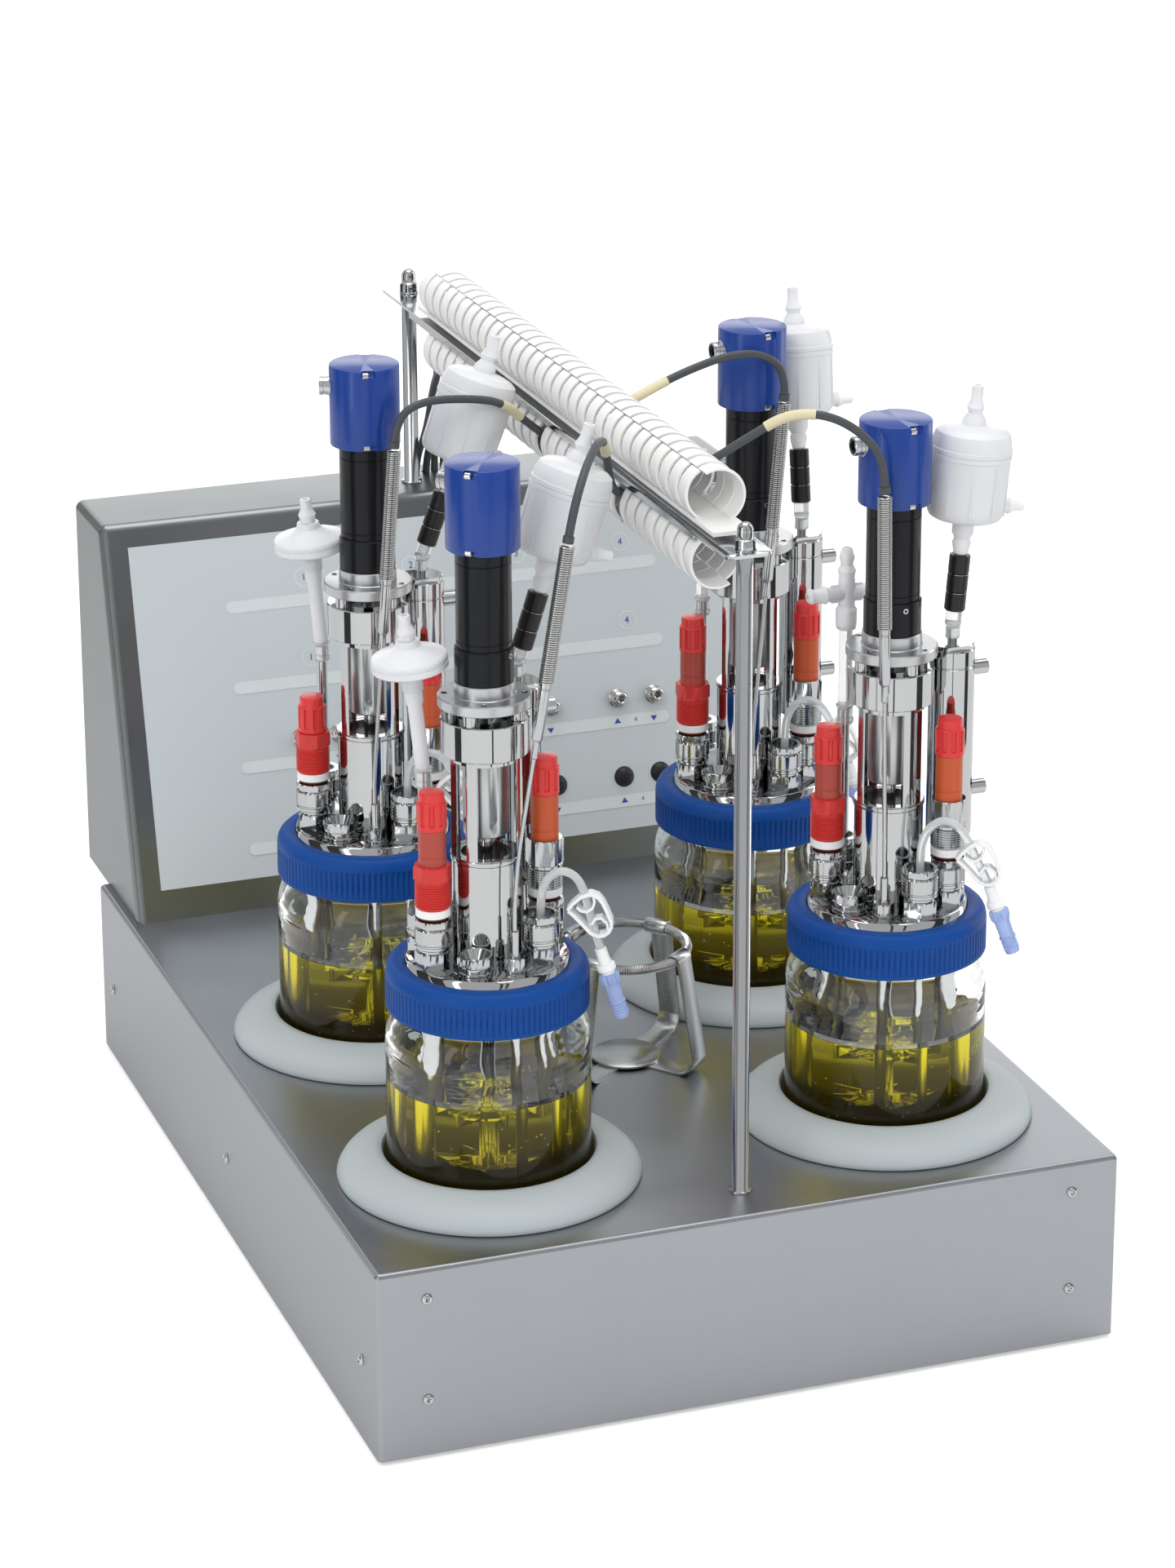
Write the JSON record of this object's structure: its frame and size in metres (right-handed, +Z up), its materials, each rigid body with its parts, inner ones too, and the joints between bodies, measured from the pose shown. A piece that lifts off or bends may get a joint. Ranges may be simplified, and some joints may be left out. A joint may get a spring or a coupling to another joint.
{
  "type": "bench bioreactor",
  "caption": "Bench-top parallel bioreactor: stirred glass culture vessels in a heated steel block, with motor drives, probes, exhaust filters, a cable bridge and a control box.",
  "frame": {"origin": "centre of the heated block's footprint, on the plane its feet stand on", "axes": "+Z up, -Y towards the user, +X to the user's right"},
  "size_m": [0.4638, 0.6889, 0.5678],
  "materials": {
    "stainless_sheet": "fine brushed stainless sheet",
    "rubber": "matt",
    "screw_steel": "plain steel",
    "panel_print": "printed foil, satin",
    "nickel": "nickel plated",
    "black_plastic": "satin black",
    "polished_steel": "polished stainless",
    "post_steel": "drawn and polished",
    "rail_steel": "satin",
    "duct_plastic": "white, satin",
    "anodised_black": "black anodised",
    "glass": "clear borosilicate",
    "collar_plastic": "pale grey, satin",
    "ring_plastic": "moulded blue, satin",
    "aluminium": "natural anodised",
    "blue_plastic": "blue anodised, satin",
    "cord": "dark grey jacket",
    "silicone": "translucent tube",
    "filter_plastic": "milky clear",
    "white_plastic": "satin white",
    "valve_blue": "clear blue",
    "sensor_red": "moulded red",
    "sensor_orange": "moulded orange",
    "spring_steel": "close-wound spring"
  },
  "bodies": {
    "bench_unit": {"base_housing": "stainless_sheet", "base_plate": "stainless_sheet", "base_feet": "rubber", "housing_screws": "screw_steel", "control_box": "stainless_sheet", "panel_overlay": "panel_print", "condenser_couplings": "nickel", "cooler_plugs": "black_plastic", "bridge_posts": "post_steel", "post_cap_nuts": "polished_steel", "cable_rail": "rail_steel", "upper_duct": "duct_plastic", "lower_duct": "duct_plastic", "vessel_stand": "rail_steel", "stand_ring": "spring_steel", "well_collars": "collar_plastic", "heating_wells": "aluminium", "motor_flanges": "aluminium", "motors": "anodised_black", "motor_caps": "blue_plastic", "port_glands": "polished_steel", "ph_sensors": "sensor_red", "oxygen_sensors": "sensor_orange", "temperature_probes": "spring_steel", "dip_tubes": "polished_steel", "gas_tubes": "polished_steel", "gas_filters": "filter_plastic", "condensers": "polished_steel", "filter_couplings": "black_plastic", "exhaust_filters": "filter_plastic", "sample_clamps": "white_plastic", "sample_valves": "valve_blue", "glass_jar_1": "glass", "head_plate_1": "polished_steel", "drive_housing_1": "polished_steel", "sensor_cable_1": "cord", "sample_tube_1": "silicone", "glass_jar_2": "glass", "head_plate_2": "polished_steel", "drive_housing_2": "polished_steel", "sensor_cable_2": "cord", "sample_tube_2": "silicone", "glass_jar_3": "glass", "head_plate_3": "polished_steel", "drive_housing_3": "polished_steel", "sensor_cable_3": "cord", "sample_tube_3": "silicone", "glass_jar_4": "glass", "head_plate_4": "polished_steel", "drive_housing_4": "polished_steel", "sensor_cable_4": "cord", "sample_tube_4": "silicone"},
    "stirrer_1": {"stirrer_1": "polished_steel"},
    "lock_ring_1": {"lock_ring_1": "ring_plastic"},
    "stirrer_2": {"stirrer_2": "polished_steel"},
    "lock_ring_2": {"lock_ring_2": "ring_plastic"},
    "stirrer_3": {"stirrer_3": "polished_steel"},
    "lock_ring_3": {"lock_ring_3": "ring_plastic"},
    "stirrer_4": {"stirrer_4": "polished_steel"},
    "lock_ring_4": {"lock_ring_4": "ring_plastic"}
  },
  "joints": [
    {"name": "stirrer_spin_1", "type": "hinge", "parent": "bench_unit", "child": "stirrer_1", "pos_m": [-0.1257, -0.2055, 0.2], "axis": [0, 0, 1], "continuous": true},
    {"name": "lock_ring_turn_1", "type": "hinge", "parent": "bench_unit", "child": "lock_ring_1", "pos_m": [-0.1257, -0.2055, 0.24], "axis": [0, 0, 1], "range_deg": [0, 350]},
    {"name": "stirrer_spin_2", "type": "hinge", "parent": "bench_unit", "child": "stirrer_2", "pos_m": [-0.1257, 0.017, 0.2], "axis": [0, 0, 1], "continuous": true},
    {"name": "lock_ring_turn_2", "type": "hinge", "parent": "bench_unit", "child": "lock_ring_2", "pos_m": [-0.1257, 0.017, 0.24], "axis": [0, 0, 1], "range_deg": [0, 350]},
    {"name": "stirrer_spin_3", "type": "hinge", "parent": "bench_unit", "child": "stirrer_3", "pos_m": [0.1257, -0.2055, 0.2], "axis": [0, 0, 1], "continuous": true},
    {"name": "lock_ring_turn_3", "type": "hinge", "parent": "bench_unit", "child": "lock_ring_3", "pos_m": [0.1257, -0.2055, 0.24], "axis": [0, 0, 1], "range_deg": [0, 350]},
    {"name": "stirrer_spin_4", "type": "hinge", "parent": "bench_unit", "child": "stirrer_4", "pos_m": [0.1257, 0.017, 0.2], "axis": [0, 0, 1], "continuous": true},
    {"name": "lock_ring_turn_4", "type": "hinge", "parent": "bench_unit", "child": "lock_ring_4", "pos_m": [0.1257, 0.017, 0.24], "axis": [0, 0, 1], "range_deg": [0, 350]}
  ]
}
